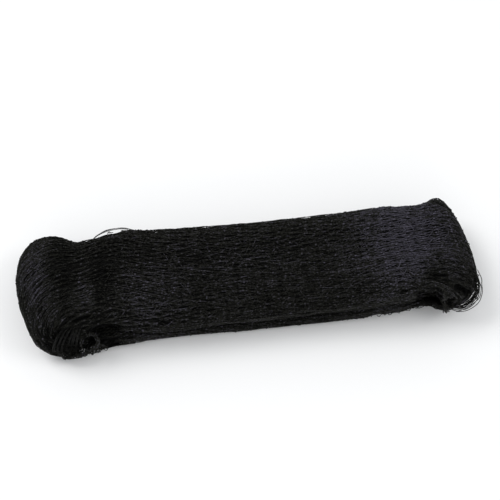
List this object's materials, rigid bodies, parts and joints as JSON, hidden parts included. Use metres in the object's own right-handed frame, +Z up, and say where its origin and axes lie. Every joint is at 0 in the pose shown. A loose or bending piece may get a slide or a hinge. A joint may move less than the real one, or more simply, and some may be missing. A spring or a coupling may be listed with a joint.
{
  "type": "bird netting, gathered and wound into a flat hank",
  "caption": "Black garden bird net gathered lengthwise and wound into a soft flat hank, with a small eye at each turned end.",
  "frame": {"origin": "middle of the hank's footprint, on the surface that it lies on", "axes": "+X along the hank, +Y across its broad face, towards the far edge; the eyes of the two turns open towards -Y; +Z up, out of the broad face"},
  "size_m": [0.3832, 0.0984, 0.0603],
  "materials": {
    "black_twine": "dull black polyethylene twine net, gathered so that its strands run lengthwise"
  },
  "bodies": {
    "root": {"net_hank": "black_twine"}
  },
  "joints": []
}
